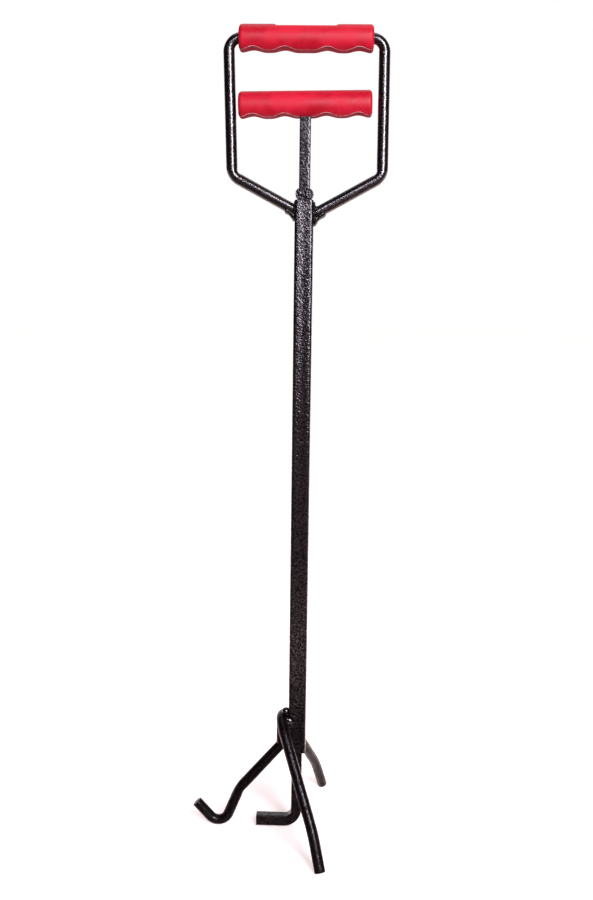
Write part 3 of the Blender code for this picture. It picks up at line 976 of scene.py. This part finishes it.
def fork_weld_blobs(end, picker):
    """Weld between one leg of the fork and the tube's corner, with a lump there and one by the bight.

    end is -1 for the front leg and 1 for the rear one."""
    blobs = []
    inset_x, inset_y = FORK_WELD_INSET
    corner = Vector((-TUBE_W / 2 + inset_x, end * (TUBE_W / 2 - inset_y), 0))
    low, high = FORK_WELD_SPAN
    for point, _ in fork_samples():
        if not low < point.y * end < high:
            continue
        spot = Vector((corner.x, corner.y, point.z - FORK_WELD_SAG))
        size = FORK_WELD_DROP_R * picker.uniform(0.85, 1.12)
        blobs.append((point.lerp(spot, FORK_WELD_SHARE), (size, size, size * FORK_WELD_STRETCH)))
    x, y, z = CORNER_LUMP
    blobs.append(((x, end * y, z), CORNER_LUMP_RADII))
    x, y, z = BIGHT_LUMP
    blobs.append(((x, end * y, z - end * BIGHT_LUMP_TILT), BIGHT_LUMP_RADII))
    return blobs


def hook_weld_blobs(end, picker):
    """A run of drops up one side of the hooked leg's upright part."""
    x, y, z = HOOK_WELD_START
    blobs = []
    for k in range(HOOK_WELD_DROPS):
        size = HOOK_WELD_DROP_R * picker.uniform(0.85, 1.15)
        blobs.append(((x, end * y, z + HOOK_WELD_PITCH * k), (size, size, size)))
    return blobs


def make_leg_welds(paint):
    """The beads that join the fork and the hooked leg to the tube, in front and at the rear."""
    picker = random.Random(3)
    beads = []
    for end, word in ((-1, "front"), (1, "rear")):
        fork_bead = weld("fork_weld_%s_bead" % word, fork_weld_blobs(end, picker), paint)
        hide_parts("fork_weld_" + word)
        hook_bead = weld("hook_weld_%s_bead" % word, hook_weld_blobs(end, picker), paint)
        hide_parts("hook_weld_" + word)
        beads += [fork_bead, hook_bead]
    return beads


# ---------------------------------------------------------------- stage


def aim(obj, target):
    """Turns a lamp to face the target."""
    obj.rotation_euler = (target - obj.location).to_track_quat("-Z", "Y").to_euler()


def area_light(name, azimuth, elevation, distance, size, watts, colour):
    """A soft rectangular lamp. azimuth is degrees to the right of the front, elevation is above level."""
    data = bpy.data.lights.new(name, "AREA")
    data.shape = "RECTANGLE"
    data.size, data.size_y = size
    data.energy = watts
    data.color = colour
    lamp = bpy.data.objects.new(name, data)
    turn, rise = math.radians(azimuth), math.radians(elevation)
    way = Vector((math.sin(turn) * math.cos(rise), -math.cos(turn) * math.cos(rise), math.sin(rise)))
    lamp.location = LIGHT_TARGET + way * distance
    aim(lamp, LIGHT_TARGET)
    lamp.visible_camera = False
    bpy.context.scene.collection.objects.link(lamp)


def make_world():
    """White to the camera. To the object, a pale wall behind it and a dim room in front."""
    world = bpy.data.worlds.new("studio")
    world.use_nodes = True
    tree = world.node_tree
    tree.nodes.clear()
    link = tree.links.new
    way = tree.nodes.new("ShaderNodeTexCoord").outputs["Generated"]
    parts = tree.nodes.new("ShaderNodeSeparateXYZ")
    link(way, parts.inputs["Vector"])
    behind = smooth_range(tree, parts.outputs["Y"], *ROOM_TURN, 0.0, 1.0)
    room = ramp(tree, behind, [(0.0, ROOM_DIM), (1.0, ROOM_WALL)])
    seen = tree.nodes.new("ShaderNodeBackground")
    lit = tree.nodes.new("ShaderNodeBackground")
    seen.inputs["Color"].default_value = (1.0, 1.0, 1.0, 1.0)
    link(room, lit.inputs["Color"])
    rays = tree.nodes.new("ShaderNodeLightPath")
    chooser = tree.nodes.new("ShaderNodeMixShader")
    link(rays.outputs["Is Camera Ray"], chooser.inputs["Fac"])
    link(lit.outputs["Background"], chooser.inputs[1])
    link(seen.outputs["Background"], chooser.inputs[2])
    output = tree.nodes.new("ShaderNodeOutputWorld")
    link(chooser.outputs["Shader"], output.inputs["Surface"])
    bpy.context.scene.world = world


def floor_material():
    """The camera sees the floor lifted to white, except for faint shadows near the legs. To the object it
    is a sheet that is white behind the tool and dark in front of it."""
    material, tree, shader = new_material("pale_floor")
    link = tree.links.new
    place = tree.nodes.new("ShaderNodeTexCoord").outputs["Object"]
    parts = tree.nodes.new("ShaderNodeSeparateXYZ")
    link(place, parts.inputs["Vector"])
    depth = parts.outputs["Y"]
    reach = node(tree, "ShaderNodeVectorMath", operation="LENGTH")
    link(place, reach.inputs[0])
    rays = tree.nodes.new("ShaderNodeLightPath").outputs["Is Camera Ray"]
    white = node(tree, "ShaderNodeValue")
    white.outputs[0].default_value = FLOOR_WHITE

    seen_lift = smooth_range(tree, reach.outputs["Value"], *FLOOR_LIFT)
    glow = node(tree, "ShaderNodeMath", operation="ADD")
    link(smooth_range(tree, depth, *FLOOR_GLOW_BEHIND), glow.inputs[0])
    link(smooth_range(tree, depth, *FLOOR_GLOW_IN_FRONT), glow.inputs[1])
    link(choose(tree, rays, glow.outputs["Value"], seen_lift), shader.inputs["Emission Strength"])
    sheet = smooth_range(tree, depth, *FLOOR_SHEET)
    tint = node(tree, "ShaderNodeMix", data_type="RGBA", blend_type="MULTIPLY", Factor=1.0)
    link(choose(tree, rays, sheet, white.outputs[0]), tint.inputs["A"])
    link(ramp(tree, rays, [(0.0, FLOOR_WARM), (1.0, FLOOR_SEEN)]), tint.inputs["B"])
    link(tint.outputs["Result"], shader.inputs["Base Color"])
    shader.inputs["Emission Color"].default_value = FLOOR_GLOW
    shader.inputs["Roughness"].default_value = 0.9
    shader.inputs["Specular IOR Level"].default_value = 0.0
    return material


def make_floor():
    """A wide round floor under the feet."""
    builder = bmesh.new()
    bmesh.ops.create_circle(builder, cap_ends=True, segments=64, radius=FLOOR_RADIUS)
    bmesh.ops.translate(builder, vec=(0, 0, FLOOR_Z), verts=builder.verts)
    mesh_object("floor", builder, floor_material())


def make_camera():
    """A camera in front of the tool, a little above its middle and turned a little to its side."""
    data = bpy.data.cameras.new("camera")
    data.sensor_fit = "VERTICAL"
    data.sensor_height = CAMERA_SENSOR
    data.lens = CAMERA_LENS
    camera = bpy.data.objects.new("camera", data)
    turn = Matrix.Rotation(-CAMERA_YAW, 4, "Z")
    pitch = Matrix.Rotation(math.pi / 2 - CAMERA_PITCH, 4, "X")
    roll = Matrix.Rotation(-CAMERA_ROLL, 4, "Z")
    camera.matrix_world = Matrix.Translation(CAMERA_PLACE) @ turn @ pitch @ roll
    bpy.context.scene.collection.objects.link(camera)
    bpy.context.scene.camera = camera


def make_stage():
    make_world()
    make_floor()
    for lamp in LAMPS:
        area_light(*lamp)
    make_camera()
    bpy.context.scene.view_settings.view_transform = "Standard"


# ---------------------------------------------------------------- assembly


def paint_node(name, material):
    """Gives its finish to a CAD node that isn't replaced."""
    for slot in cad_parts[name].material_slots:
        slot.material = material


def settle(pieces, body):
    """Puts the pieces on the body that carries them."""
    for piece in pieces:
        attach(piece, body)


def main():
    paint = {key: hammertone("black_hammertone_" + key, **values) for key, values in PAINTS.items()}
    red = vinyl("satin_red_vinyl")

    fixed = [make_tube(paint["body"]), make_handle(paint["rods"])]
    fixed += [make_hook(paint["legs"]), make_fork(paint["legs"])]
    fixed += make_handle_welds(paint["joints"]) + make_leg_welds(paint["leg_welds"])
    sliding = [make_bar(paint["bar"])] + make_stops(paint["body"])
    settle(fixed, "frame")
    settle(sliding, "slide")
    settle([make_top_grip(red)], "frame")
    settle([make_slide_grip(red)], "slide")
    for name in ("crossbar", "crossbar_weld"):
        paint_node(name, paint["body"])
    make_stage()


main()
